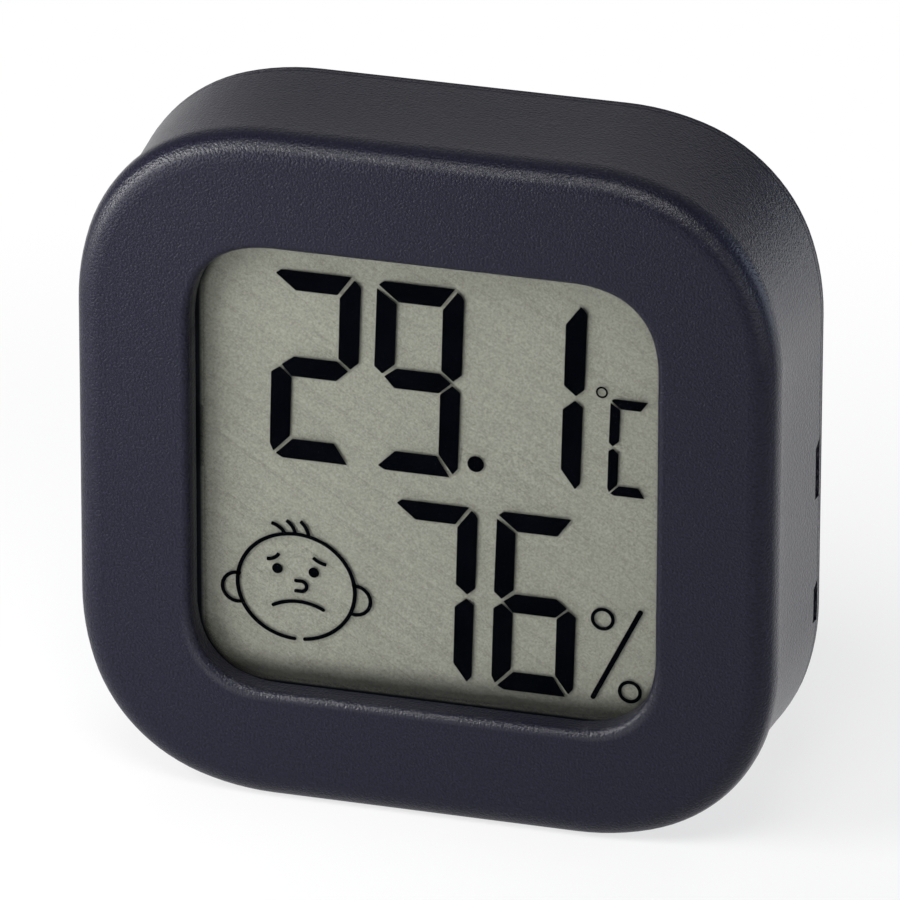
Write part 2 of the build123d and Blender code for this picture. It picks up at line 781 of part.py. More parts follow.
# Battery door with coin slot, skirt and lugs
with BuildPart() as battery_door:
    with BuildSketch(layer(depth)):
        with Locations((0, battery_z)):
            Circle(door_radius)
    extrude(amount=door_thickness)
    chamfer(battery_door.faces().sort_by(Axis.Y)[-1].edges(), door_edge)
    with BuildSketch(layer(door_depth)):
        with Locations((0, battery_z)):
            Circle(skirt_outer)
            Circle(skirt_inner, mode=Mode.SUBTRACT)
    extrude(amount=door_depth - lug_front)
    for number in range(lug_count):
        start = lug_start + number * 360 / lug_count
        with BuildLine() as lug_line:
            CenterArc((0, battery_z), lug_middle - skirt_thickness / 4, start, lug_angle)
        with BuildSketch(layer(lug_back)):
            SlotArc(lug_line.edges()[0], lug_reach + skirt_thickness / 2)
        extrude(amount=lug_thickness)
    with BuildSketch(layer(depth)):
        with Locations((0, battery_z)):
            SlotOverall(coin_slot_length, coin_slot_width)
    extrude(amount=coin_slot_depth, mode=Mode.SUBTRACT)
battery_door.part.label = "battery_door"

# Fold-out stand: a U round the door, with knuckles and pins at its two upper ends
with BuildPart() as stand:
    with BuildSketch(layer(depth)):
        stand_face(0, hinge_up + heel)
    extrude(amount=stand_thickness)
    chamfer(stand.faces().sort_by(Axis.Y)[-1].edges().filter_by(GeomType.CIRCLE), stand_edge)
    for side in (1, -1):
        with BuildSketch(Plane.YZ.offset(side * stand_inner)):
            with Locations((hinge_y, half + hinge_up)):
                Circle(knuckle_radius)
        extrude(amount=side * leg_width)
        with BuildSketch(Plane.YZ.offset(side * stand_outer)):
            with Locations((hinge_y, half + hinge_up)):
                Circle(hinge_pin_radius)
        extrude(amount=side * hinge_pin_length)
stand.part.label = "stand"

pieces = [
    front_housing,
    rear_cover,
    display_gasket,
    front_polariser,
    front_glass,
    rear_glass,
    rear_reflector,
    display_holder,
    elastomer_connector,
    circuit_board,
    chip_cover,
    crystal,
    humidity_sensor,
    thermistor,
    capacitor,
    resistor,
    unit_switch,
    switch_plunger,
    unit_button,
    *screws,
    cell_can,
    cell_seal_ring,
    cell_cap,
    cap_contact,
    can_contact,
    *magnets,
    battery_door,
    stand,
]

os.makedirs("parts", exist_ok=True)
for piece in pieces:
    export_step(piece.part, f"parts/{piece.part.label}.step")
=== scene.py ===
from math import atan2, cos, pi, radians, sin

import bmesh
import bpy
from bpy.props import FloatProperty, FloatVectorProperty, PointerProperty
from bpy.types import Operator, Panel, PropertyGroup
from mathutils import Matrix, Vector


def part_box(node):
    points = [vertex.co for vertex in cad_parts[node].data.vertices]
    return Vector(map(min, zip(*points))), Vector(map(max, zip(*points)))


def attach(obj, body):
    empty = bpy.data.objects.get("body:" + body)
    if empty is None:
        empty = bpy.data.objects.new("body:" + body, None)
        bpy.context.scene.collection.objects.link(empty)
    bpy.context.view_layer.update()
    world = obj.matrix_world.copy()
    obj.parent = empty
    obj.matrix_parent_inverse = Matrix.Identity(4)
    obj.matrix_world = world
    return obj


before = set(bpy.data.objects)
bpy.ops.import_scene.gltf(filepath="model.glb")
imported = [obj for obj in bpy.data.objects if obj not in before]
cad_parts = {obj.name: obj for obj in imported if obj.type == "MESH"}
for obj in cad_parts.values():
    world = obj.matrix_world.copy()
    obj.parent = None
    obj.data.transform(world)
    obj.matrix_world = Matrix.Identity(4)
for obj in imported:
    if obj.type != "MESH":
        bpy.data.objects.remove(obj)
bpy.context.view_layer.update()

bl_info = {
    "name": "Hygrometer",
    "version": (1, 0, 0),
    "blender": (4, 5, 0),
    "location": "3D View > Sidebar > Hygrometer",
    "description": "Display, finishes and studio stage of a small square hygrometer",
    "category": "Add Mesh",
}

MM = 0.001
MIDDLE = 0.5 * (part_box("front_housing")[0].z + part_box("front_housing")[1].z)
# Half the window opening: the polariser overlaps it by 0.55 mm on each side
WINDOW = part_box("front_polariser")[1].x - 0.55 * MM
WINDOW_CORNER = 4.2 * MM
# Where the display's drawing has its zero: behind the middle of the front, within the polariser,
# 0.12 mm before the pearly ground, so that each sign throws its small shadow there
DRAWING = Vector((0.196 * MM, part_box("front_polariser")[1].y - 0.12 * MM, MIDDLE + 0.308 * MM))
CELL_MIDDLE = (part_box("cell_can")[0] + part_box("cell_can")[1]) / 2


def linear(code):
    """Turn an sRGB hex colour into the linear colour that shaders take."""
    channels = [int(code[i : i + 2], 16) / 255 for i in (1, 3, 5)]
    return [c / 12.92 if c <= 0.04045 else ((c + 0.055) / 1.055) ** 2.4 for c in channels] + [1.0]


def colour(name, description, code):
    return FloatVectorProperty(
        name=name,
        description=description,
        subtype="COLOR",
        size=4,
        min=0,
        max=1,
        default=linear(code),
    )


def length(name, description, millimetres):
    return FloatProperty(
        name=name,
        description=description,
        default=millimetres * MM,
        min=0,
        unit="LENGTH",
        precision=5,
    )


def angle(name, description, degrees):
    return FloatProperty(
        name=name, description=description, default=radians(degrees), subtype="ANGLE"
    )


def factor(name, description, share, **limits):
    return FloatProperty(
        name=name,
        description=description,
        default=share,
        min=0,
        soft_max=2,
        subtype="FACTOR",
        **limits,
    )


class HygrometerSizes(PropertyGroup):
    digit_width: length("Digit width", "Width of a digit of the upper row", 5.37)
    digit_height: length("Digit height", "Height of a digit of the upper row", 12.14)
    digit_stroke: length("Stroke", "Width of a segment of the upper row", 1.26)
    digit_lean: angle("Lean", "How far the digits lean to the right", 1.7)
    digit_corner: length("Corner", "Rounding of the segments' corners", 0.05)
    lower_share: factor("Lower row", "Size of the lower row against the upper one", 0.955)
    sign_width: length("Sign width", "Width of the unit letter", 2.57)
    sign_height: length("Sign height", "Height of the unit letter", 6.2)
    sign_stroke: length("Sign stroke", "Width of a segment of the unit letter", 0.62)
    ring_line: length("Ring line", "Line width of the rings of the percent sign", 0.22)
    face_line: length("Face line", "Line width of the comfort face", 0.235)
    ink_depth: length("Ink depth", "Thickness that stands for the dark liquid crystal", 0.02)


class HygrometerColours(PropertyGroup):
    housing: colour("Housing", "Moulded housing", "#11111e")
    housing_worn: colour("Housing, paler", "Paler patches of the moulded housing", "#1f1f2f")
    reflector: colour("Reflector", "Ground of the display", "#b2b3a5")
    reflector_dark: colour("Reflector, darker", "Grain of the display's ground", "#909185")
    crystal: colour("Segments", "Dark liquid crystal", "#020306")
    floor: colour("Floor", "Studio floor", "#fafafa")


class HygrometerStage(PropertyGroup):
    azimuth: angle("Azimuth", "Camera's turn to the right of the front", 16.12)
    elevation: angle("Elevation", "Camera's height angle", 24.03)
    roll: angle("Roll", "Camera's roll", 0.116)
    distance: length("Distance", "From the camera to the hygrometer", 687.6)
    shift_right: length("Aim to the right", "How far the camera aims right of the middle", 0.179)
    shift_up: length("Aim upwards", "How far the camera aims above the middle", 0.299)
    lens: FloatProperty(
        name="Lens",
        description="Focal length on a 36 mm sensor",
        default=463.24,
        min=1,
        subtype="DISTANCE_CAMERA",
    )
    ambient: factor("Ambient", "Light from all around", 0.11)
    key: factor("Key light", "Softbox close by on the left", 1.2)
    back: factor("Back light", "Wide softbox behind", 0.11)
    low: factor("Low light", "Small softbox level with the back", 0.45)
    fill: factor("Fill light", "Softbox on the right, bluish as from a window", 0.45)
    top: factor("Top light", "Softbox above the camera", 0.4)
    shadow: factor("Shadow", "How much of the shadow on the floor shows", 0.3, max=1)


# ---------------------------------------------------------------- materials


def add(tree, kind, links=None, values=None, stops=(), **settings):
    """Add a node with its settings, fixed inputs, both colour stops and incoming links."""
    made = tree.nodes.new(kind)
    for key, value in settings.items():
        setattr(made, key, value)
    for key, value in (values or {}).items():
        made.inputs[key].default_value = value
    for key, (source, output) in (links or {}).items():
        tree.links.new(source.outputs[output], made.inputs[key])
    for number, (position, tone) in enumerate(stops):
        made.color_ramp.elements[number].position = position
        made.color_ramp.elements[number].color = tone
    return made


def start(name, **values):
    """Start a material: its tree, its shader with fixed values, the link to Object coordinates."""
    material = bpy.data.materials.new(name)
    material.use_nodes = True
    tree = material.node_tree
    shader = tree.nodes["Principled BSDF"]
    for key, value in values.items():
        shader.inputs[key.replace("_", " ")].default_value = value
    where = {"Vector": (add(tree, "ShaderNodeTexCoord"), "Object")}
    return material, tree, shader, where


def paint(material, *nodes):
    """Give CAD nodes their material."""
    for name in nodes:
        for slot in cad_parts[name].material_slots:
            slot.material = material


def grain(mm):
    """Texture scale at which a noise or cell pattern has features of that size."""
    return 1 / (mm * MM)


def pitch(mm):
    """Texture scale at which a wave pattern repeats at that pitch: 20 waves fill 2 pi units."""
    return 2 * pi / (20 * mm * MM)


def tint(tree, shader, source, output, *stops):
    """Base colour that follows a pattern."""
    ramp = add(tree, "ShaderNodeValToRGB", {"Fac": (source, output)}, stops=stops)
    tree.links.new(ramp.outputs["Color"], shader.inputs["Base Color"])
    return ramp


def shade(tree, shader, where, size, dark, pale):
    """Colour that drifts between two shades in patches of a given size in millimetres."""
    drift = add(tree, "ShaderNodeTexNoise", where, {"Scale": grain(size), "Detail": 3.0})
    tint(tree, shader, drift, "Fac", (0.35, dark), (0.65, pale))
    return drift


def gloss(tree, shader, source, output, low, high):
    """Roughness that follows a pattern between two values."""
    span = add(
        tree, "ShaderNodeMapRange", {"Value": (source, output)}, {"To Min": low, "To Max": high}
    )
    tree.links.new(span.outputs["Result"], shader.inputs["Roughness"])


def relief(tree, shader, source, output, height):
    """Bump of a given height in millimetres."""
    bump = add(tree, "ShaderNodeBump", {"Height": (source, output)}, {"Distance": height * MM})
    tree.links.new(bump.outputs["Normal"], shader.inputs["Normal"])


def boxed(tree, where, centre, half, corner):
    """Distance from the inner part of a rounded box: at its outline, the corner's radius."""
    flat = add(
        tree,
        "ShaderNodeMapping",
        where,
        {"Location": (-centre[0], 0, -MIDDLE - centre[1]), "Scale": (1, 0, 1)},
    )
    folded = add(tree, "ShaderNodeVectorMath", {0: (flat, 0)}, operation="ABSOLUTE")
    inner = (half[0] - corner, 0, half[1] - corner)
    beyond = add(tree, "ShaderNodeVectorMath", {0: (folded, 0)}, {1: inner}, operation="SUBTRACT")
    outside = add(
        tree, "ShaderNodeVectorMath", {0: (beyond, 0)}, {1: (0, 0, 0)}, operation="MAXIMUM"
    )
    return add(tree, "ShaderNodeVectorMath", {0: (outside, 0)}, operation="LENGTH")


def between(tree, source, output, low, high):
    """Mask that goes from 0 to 1 as a value goes from low to high, also where low is larger."""
    return add(
        tree,
        "ShaderNodeMapRange",
        {"Value": (source, output)},
        {"From Min": low, "From Max": high},
    )


def both(tree, first, *others):
    """Mask that holds where all of these do: their product."""
    for other in others:
        first = add(tree, "ShaderNodeMath", {0: (first, 0), 1: (other, 0)}, operation="MULTIPLY")
    return first


def strongest(tree, *weighted):
    """The largest of some masks, each times its own weight."""
    parts = [
        add(tree, "ShaderNodeMath", {0: (mask, 0)}, {1: weight}, operation="MULTIPLY")
        for mask, weight in weighted
    ]
    most = parts[0]
    for part in parts[1:]:
        most = add(tree, "ShaderNodeMath", {0: (most, 0), 1: (part, 0)}, operation="MAXIMUM")
    return most


def etched(tree, shader, where, grains, colours, side=None):
    """Mould texture of raised grains: each catches light on one side and looks paler on top.

    Grains are given by size and height in millimetres. Of two, the second ones lie on the side.
    """
    patterns = []
    for size, height in grains:
        noise = add(tree, "ShaderNodeTexNoise", where, {"Scale": grain(size), "Detail": 1.5})
        raised = add(
            tree, "ShaderNodeMath", {0: (noise, "Fac")}, {1: height * MM}, operation="MULTIPLY"
        )
        patterns.append((noise, raised))
    level, spread = patterns[0]
    if len(patterns) == 2:
        level, spread = (
            add(
                tree,
                "ShaderNodeMix",
                {"Factor": (side, 0), "A": (face, 0), "B": (flank, 0)},
                data_type="FLOAT",
            )
            for face, flank in zip(*patterns)
        )
    tint(tree, shader, level, 0, (0.3, colours.housing), (0.7, colours.housing_worn))
    bump = add(tree, "ShaderNodeBump", {"Height": (spread, 0)}, {"Distance": 1.0})
    for socket in ("Normal", "Coat Normal"):
        tree.links.new(bump.outputs["Normal"], shader.inputs[socket])


def moulded_abs(name, node, grains, near, far, colours):
    """ABS, injection moulded: an etched, satin face and sides that shine at a grazing look.

    The sides begin near behind the node's front and end far before its back, both in metres.
    """
    low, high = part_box(node)
    material, tree, shader, where = start(
        name, IOR=1.46, Specular_IOR_Level=0.18, Coat_Roughness=0.34, Coat_IOR=1.5
    )
    split = add(tree, "ShaderNodeSeparateXYZ", where)
    # The side's finish comes in over 0.35 mm and ends within 0.1 mm
    begins = between(tree, split, "Y", low.y + near, low.y + near + 0.35 * MM)
    ends = between(tree, split, "Y", high.y - far + 0.05 * MM, high.y - far - 0.05 * MM)
    side = both(tree, begins, ends)
    etched(tree, shader, where, grains, colours, side)
    # The open grain of a side mirrors the pale surroundings
    shine = [(side, 0.55)]
    if node == "front_housing":
        # and so do the window's lower lip, which wiping polishes,
        reach = boxed(tree, where, (0, 0), (WINDOW, WINDOW), WINDOW_CORNER)
        lip = between(tree, reach, "Value", WINDOW_CORNER + 0.6 * MM, WINDOW_CORNER + 0.3 * MM)
        below = between(tree, split, "Z", MIDDLE - 9 * MM, MIDDLE - 14 * MM)
        # and the bead's crest, where fingers take the hygrometer from above
        rises = between(tree, split, "Y", low.y + 0.1 * MM, low.y + 0.25 * MM)
        falls = between(tree, split, "Y", low.y + 0.6 * MM, low.y + 0.45 * MM)
        above = between(tree, split, "Z", MIDDLE + 10 * MM, MIDDLE + 16 * MM)
        shine += [(both(tree, lip, below), 0.6), (both(tree, rises, falls, above), 0.75)]
    coat = strongest(tree, *shine)
    tree.links.new(coat.outputs["Value"], shader.inputs["Coat Weight"])
    worn = add(tree, "ShaderNodeTexNoise", where, {"Scale": grain(9)})
    gloss(tree, shader, worn, "Fac", 0.36, 0.44)
    return material


def eroded_abs(colours):
    """ABS, spark-eroded all over: dull and evenly grained, as on a door and a stand."""
    material, tree, shader, where = start("abs_eroded_black", IOR=1.46, Specular_IOR_Level=0.25)
    etched(tree, shader, where, [(0.2, 0.1)], colours)
    worn = add(tree, "ShaderNodeTexNoise", where, {"Scale": grain(7)})
    gloss(tree, shader, worn, "Fac", 0.4, 0.5)
    return material


def polished_abs(colours):
    """The same ABS from a polished cavity: the button's smooth, softly shining top."""
    material, tree, shader, where = start("abs_polished_black", IOR=1.46)
    drift = shade(tree, shader, where, 2, colours.housing, colours.housing_worn)
    gloss(tree, shader, drift, "Fac", 0.34, 0.44)
    return material


def foam():
    """Polyurethane foam, die cut: open cells that swallow the light."""
    material, tree, shader, where = start(
        "foam_die_cut_black", Roughness=0.95, Specular_IOR_Level=0.15
    )
    shade(tree, shader, where, 0.5, linear("#08080a"), linear("#101013"))
    cells = add(tree, "ShaderNodeTexVoronoi", where, {"Scale": grain(0.3)})
    relief(tree, shader, cells, "Distance", 0.08)
    return material


def polariser():
    """Iodine polariser, stretched film with a matt hard coat: nearly clear, with a faint haze."""
    material, tree, shader, where = start("polariser_hard_coated", Alpha=0.02, IOR=1.5)
    drift = shade(tree, shader, where, 6, linear("#14150f"), linear("#1b1c16"))
    gloss(tree, shader, drift, "Fac", 0.3, 0.4)
    return material


def glass():
    """Soda-lime glass, float drawn and cut: clear, faintly green."""
    material, tree, shader, where = start("glass_float_cut", Alpha=0.3, IOR=1.52)
    drift = shade(tree, shader, where, 20, linear("#16211a"), linear("#1d2a22"))
    gloss(tree, shader, drift, "Fac", 0.04, 0.07)
    return material


def reflector(colours):
    """Display glass over aluminised pearl film: a silky grey-green ground, its edge in painted
    shade.

    The front glass shows this look itself: every see-through layer before the ground costs light
    paths, and of those a picture has few.
    """
    material, tree, shader, where = start("reflector_aluminised", Metallic=0.35)
    # The film's pearl grain is a few hundredths of a millimetre, drawn at 0.14 mm to show
    drift = add(tree, "ShaderNodeTexNoise", where, {"Scale": grain(0.14), "Detail": 2.0})
    film = add(
        tree,
        "ShaderNodeValToRGB",
        {"Fac": (drift, "Fac")},
        stops=[(0.3, colours.reflector_dark), (0.65, colours.reflector)],
    )
    # The pale field is 28.5 mm wide and 28.75 mm high and lies a little low and to the left
    centre, half = (-0.09 * MM, -0.22 * MM), (14.25 * MM, 14.375 * MM)
    # Painted shade: the pale field goes to near black over its last 0.45 mm, for the shade under
    # the housing's lip
    reach = boxed(tree, where, centre, half, WINDOW_CORNER)
    edge_shade = between(tree, reach, "Value", WINDOW_CORNER - 0.45 * MM, WINDOW_CORNER)
    # Along the bottom a broader band of painted shade darkens the ground, for the deep lip's shade
    split = add(tree, "ShaderNodeSeparateXYZ", where)
    ledge_shade = between(tree, split, "Z", MIDDLE - 12.7 * MM, MIDDLE - 13.9 * MM)
    # The painted shades mix the ground towards near black, the lower band by up to 74 %
    dark = strongest(tree, (edge_shade, 1.0), (ledge_shade, 0.74))
    ground = add(
        tree,
        "ShaderNodeMix",
        {"Factor": (dark, 0), 6: (film, "Color")},
        {7: linear("#0b1019")},
        data_type="RGBA",
    )
    tree.links.new(ground.outputs[2], shader.inputs["Base Color"])
    gloss(tree, shader, drift, "Fac", 0.34, 0.42)
    return material


def crystal_ink(colours):
    """Liquid crystal between crossed polarisers: near black with a blue cast, without gloss."""
    if "liquid_crystal_dark" in bpy.data.materials:
        return bpy.data.materials["liquid_crystal_dark"]
    material, tree, shader, where = start("liquid_crystal_dark", Specular_IOR_Level=0.0)
    drift = shade(tree, shader, where, 1.5, colours.crystal, linear("#040509"))
    gloss(tree, shader, drift, "Fac", 0.35, 0.45)
    return material


def holder_plastic():
    """Black polycarbonate blend, moulded in a plain cavity: smooth with faint flow marks."""
    material, tree, shader, where = start("polycarbonate_moulded_black", IOR=1.58)
    drift = shade(tree, shader, where, 3, linear("#121214"), linear("#18181b"))
    gloss(tree, shader, drift, "Fac", 0.34, 0.46)
    relief(tree, shader, drift, "Fac", 0.01)
    return material


def zebra():
    """Silicone rubber in thin carbon-filled and plain layers: a soft strip with fine stripes."""
    material, tree, shader, where = start("silicone_layered", Roughness=0.7, IOR=1.43)
    # The layers are 0.05 mm thick, drawn with a pitch of 0.25 mm so that they show
    bands = add(
        tree,
        "ShaderNodeTexWave",
        where,
        {"Scale": pitch(0.25), "Distortion": 0.4},
        bands_direction="X",
    )
    tint(tree, shader, bands, "Fac", (0.42, linear("#17171a")), (0.58, linear("#55544c")))
    relief(tree, shader, bands, "Fac", 0.005)
    return material


def laminate():
    """Glass-epoxy laminate under green solder mask: raised tracks over a faint weave."""
    material, tree, shader, where = start("glass_epoxy_masked_green", IOR=1.55)
    tracks = add(
        tree,
        "ShaderNodeTexVoronoi",
        where,
        {"Scale": grain(1.6), "Randomness": 0.6},
        distance="MANHATTAN",
    )
    bare, covered = linear("#0d3b22"), linear("#17603a")
    ramp = tint(tree, shader, tracks, "Distance", (0.42, bare), (0.5, covered))
    # The glass weave has threads 0.4 mm apart
    weave = add(tree, "ShaderNodeTexWave", where, {"Scale": pitch(0.4)}, bands_direction="X")
    gloss(tree, shader, weave, "Fac", 0.28, 0.36)
    relief(tree, shader, ramp, "Color", 0.03)
    return material


def chip_epoxy():
    """Black epoxy, poured and cured: a glossy drop with slow waves."""
    material, tree, shader, where = start("epoxy_poured_black", IOR=1.55)
    drift = shade(tree, shader, where, 1.8, linear("#08080a"), linear("#0f0f12"))
    gloss(tree, shader, drift, "Fac", 0.1, 0.25)
    relief(tree, shader, drift, "Fac", 0.05)
    return material


def bright_metal(name, dark, pale, along):
    """Bright metal, rolled, drawn or plated: fine lines along the way it was worked."""
    material, tree, shader, where = start(name, Metallic=1.0)
    stretched = add(tree, "ShaderNodeMapping", where, {"Scale": along})
    # Rolling lines are a few hundredths of a millimetre, drawn at 0.12 mm so that they show
    lines = add(
        tree,
        "ShaderNodeTexNoise",
        {"Vector": (stretched, 0)},
        {"Scale": grain(0.12), "Detail": 2.0},
    )
    tint(tree, shader, lines, "Fac", (0.3, linear(dark)), (0.7, linear(pale)))
    gloss(tree, shader, lines, "Fac", 0.2, 0.34)
    relief(tree, shader, lines, "Fac", 0.002)
    return material


def drawn_steel():
    """Stainless steel of a coin cell, drawn from sheet: fine rings round the middle."""
    material, tree, shader, where = start("stainless_drawn", Metallic=1.0)
    centred = add(tree, "ShaderNodeMapping", where, {"Location": -CELL_MIDDLE})
    # The rings are finer than 0.1 mm, drawn with a pitch of 0.3 mm so that they show
    rings = add(
        tree,
        "ShaderNodeTexWave",
        {"Vector": (centred, 0)},
        {"Scale": pitch(0.3), "Distortion": 1.0, "Detail": 1.0},
        wave_type="RINGS",
        rings_direction="Y",
    )
    tint(tree, shader, rings, "Fac", (0.0, linear("#a9abad")), (1.0, linear("#c3c5c7")))
    gloss(tree, shader, rings, "Fac", 0.2, 0.3)
    relief(tree, shader, rings, "Fac", 0.002)
    return material


def nylon():
    """Nylon seal, moulded: milky grey and slightly waxy."""
    material, tree, shader, where = start("nylon_moulded", IOR=1.53)
    drift = shade(tree, shader, where, 1.2, linear("#8f9093"), linear("#9d9ea1"))
    gloss(tree, shader, drift, "Fac", 0.4, 0.5)
    return material


def fired_ceramic(name, body, body_pale, node, axis):
    """Fired ceramic block with tinned ends: matt body, bright caps that solder wets."""
    low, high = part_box(node)
    material, tree, shader, where = start(name)
    centred = add(tree, "ShaderNodeMapping", where, {"Location": -(low + high) / 2})
    split = add(tree, "ShaderNodeSeparateXYZ", {"Vector": (centred, 0)})
    away = add(tree, "ShaderNodeMath", {0: (split, axis)}, operation="ABSOLUTE")
    # The body takes 62 % of the length, the caps what is left
    half_body = 0.62 * (high - low)["XYZ".index(axis)] / 2
    cap = add(tree, "ShaderNodeMath", {0: (away, 0)}, {1: half_body}, operation="GREATER_THAN")
    speck = add(tree, "ShaderNodeTexNoise", where, {"Scale": grain(0.1), "Detail": 2.0})
    clay = add(
        tree,
        "ShaderNodeValToRGB",
        {"Fac": (speck, "Fac")},
        stops=[(0.35, linear(body)), (0.65, linear(body_pale))],
    )
    ends = add(
        tree,
        "ShaderNodeMix",
        {"Factor": (cap, 0), 6: (clay, "Color")},
        {7: linear("#c9cac8")},
        data_type="RGBA",
    )
    tree.links.new(ends.outputs[2], shader.inputs["Base Color"])
    tree.links.new(cap.outputs["Value"], shader.inputs["Metallic"])
    gloss(tree, shader, speck, "Fac", 0.35, 0.6)
    relief(tree, shader, speck, "Fac", 0.01)
    return material


def studio_floor(colours, shadow):
    """Matt painted board: pale, with a barely seen roller texture. The camera sees near white."""
    material, tree, shader, where = start(
        "board_painted_pale", Roughness=0.9, Specular_IOR_Level=0.1
    )
    drift = shade(tree, shader, where, 40, colours.floor, linear("#ffffff"))
    relief(tree, shader, drift, "Fac", 0.01)
    # Straight from the camera, in a mirroring face or through a clear piece it looks white
    path = add(tree, "ShaderNodeLightPath")
    seen = path, "Is Camera Ray"
    for other in ("Is Glossy Ray", "Is Transmission Ray"):
        links = {0: seen, 1: (path, other)}
        seen = add(tree, "ShaderNodeMath", links, operation="MAXIMUM"), 0
    # The shadow shows near the hygrometer and fades out over the next centimetres
    reach = add(tree, "ShaderNodeVectorMath", where, operation="LENGTH")
    fade = add(
        tree,
        "ShaderNodeMapRange",
        {"Value": (reach, "Value")},
        {"From Min": 30 * MM, "From Max": 90 * MM, "To Min": 1 - shadow, "To Max": 1.0},
    )
    share = both(tree, seen[0], fade)
    white = add(tree, "ShaderNodeEmission", values={"Color": (1, 1, 1, 1), "Strength": 1.0})
    links = {"Fac": (share, 0), 1: (shader, "BSDF"), 2: (white, "Emission")}
    mix = add(tree, "ShaderNodeMixShader", links)
    tree.links.new(mix.outputs["Shader"], tree.nodes["Material Output"].inputs["Surface"])
    return material


# ---------------------------------------------------------------- modelling


def begin(adder, name, **options):
    """Add a primitive with nothing else selected, name it and put its place in its mesh."""
    if bpy.context.object and bpy.context.object.mode != "OBJECT":
        bpy.ops.object.mode_set(mode="OBJECT")
    bpy.ops.object.select_all(action="DESELECT")
    adder(**options)
    piece = bpy.context.object
    piece.name = name
    piece.data.name = name
    bpy.ops.object.transform_apply(location=True, rotation=True, scale=True)
    return piece


def pick(piece, test):
    """Select the vertices of a mesh in edit mode that pass a test, and what lies between them."""
    bpy.ops.mesh.select_all(action="DESELECT")
    shape = bmesh.from_edit_mesh(piece.data)
    for vertex in shape.verts:
        vertex.select = test(vertex.co)
    shape.select_flush(True)
    bmesh.update_edit_mesh(piece.data)


def thicken(depth):
    """Thicken the flat shape in edit mode towards the front and turn its faces outwards."""
    bpy.ops.mesh.select_all(action="SELECT")
    bpy.ops.mesh.extrude_region_move(TRANSFORM_OT_translate={"value": (0, -depth, 0)})
    bpy.ops.mesh.select_all(action="SELECT")
    bpy.ops.mesh.normals_make_consistent(inside=False)
    bpy.ops.object.mode_set(mode="OBJECT")


def on_display(place):
    """The point in the display's drawing that lies that far to the right and up."""
    return DRAWING + Vector((place[0], 0, place[1]))


def cut_plate(name, corners, depth, rounding):
    """A plate with straight sides: a plane trimmed along each, its corners eased, then thickened.

    The corners run counter-clockwise, seen from the front, in metres across the display.
    """
    low = Vector([min(c[i] for c in corners) for i in (0, 1)])
    high = Vector([max(c[i] for c in corners) for i in (0, 1)])
    centre = (low + high) / 2
    piece = begin(
        bpy.ops.mesh.primitive_plane_add,
        name,
        size=1.2 * max(high - low),
        location=on_display(centre),
        rotation=(pi / 2, 0, 0),
    )
    bpy.ops.object.mode_set(mode="EDIT")
    for (x, z), (next_x, next_z) in zip(corners, corners[1:] + corners[:1]):
        bpy.ops.mesh.select_all(action="SELECT")
        outward = Vector((next_z - z, 0, x - next_x)).normalized()
        bpy.ops.mesh.bisect(
            plane_co=on_display((x, z)), plane_no=outward, clear_outer=True, threshold=1e-7
        )
    bpy.ops.mesh.select_all(action="SELECT")
    bpy.ops.mesh.bevel(offset=rounding, segments=3, affect="VERTICES")
    thicken(depth)
    return piece


def disc(name, centre, radius, vertices):
    """Add a flat, filled circle and enter edit mode."""
    piece = begin(
        bpy.ops.mesh.primitive_circle_add,
        name,
        vertices=vertices,
        radius=radius,
        fill_type="NGON",
        location=on_display(centre),
        rotation=(pi / 2, 0, 0),
    )
    bpy.ops.object.mode_set(mode="EDIT")
    return piece


def ring(name, centre, radius, line, depth):
    """A flat ring: a disc, inset by the line's width, its middle deleted, then thickened."""
    piece = disc(name, centre, radius + line / 2, 48)
    bpy.ops.mesh.select_all(action="SELECT")
    bpy.ops.mesh.inset(thickness=line)
    pick(piece, lambda co: (co - on_display(centre)).length < radius)
    bpy.ops.mesh.delete(type="ONLY_FACE")
    thicken(depth)
    return piece


def dot(name, centre, radius, depth):
    """A round dot: a disc, thickened, with its front edge eased."""
    piece = disc(name, centre, radius, 32)
    thicken(depth)
    bpy.ops.object.mode_set(mode="EDIT")
    pick(piece, lambda co: co.y < DRAWING.y - depth / 2)
    bpy.ops.mesh.bevel(offset=depth / 3, segments=1, affect="EDGES")
    bpy.ops.object.mode_set(mode="OBJECT")
    return piece


def pen_line(name, begins, ends, bulge, line, depth, lead):
    """A pen line with round ends: a short edge across the line, spun round the centre of its arc.

    It runs counter-clockwise between its two ends, in metres across the display, and bulges
    outwards by that much from the straight way between them. A lead lengthens both to the left.
    """
    begins, ends = Vector(begins), Vector(ends)
    way = ends - begins
    half = way.length / 2
    radius = (half**2 + bulge**2) / (2 * bulge)
    outward = Vector((way.y, -way.x)).normalized()
    centre = (begins + ends) / 2 - outward * (radius - bulge)
    first, last = (atan2(tip.y - centre.y, tip.x - centre.x) for tip in (begins, ends))
    sweep = (last - first) % (2 * pi)
    return spun_line(name, centre, radius, first, sweep, line, depth, 12, lead)


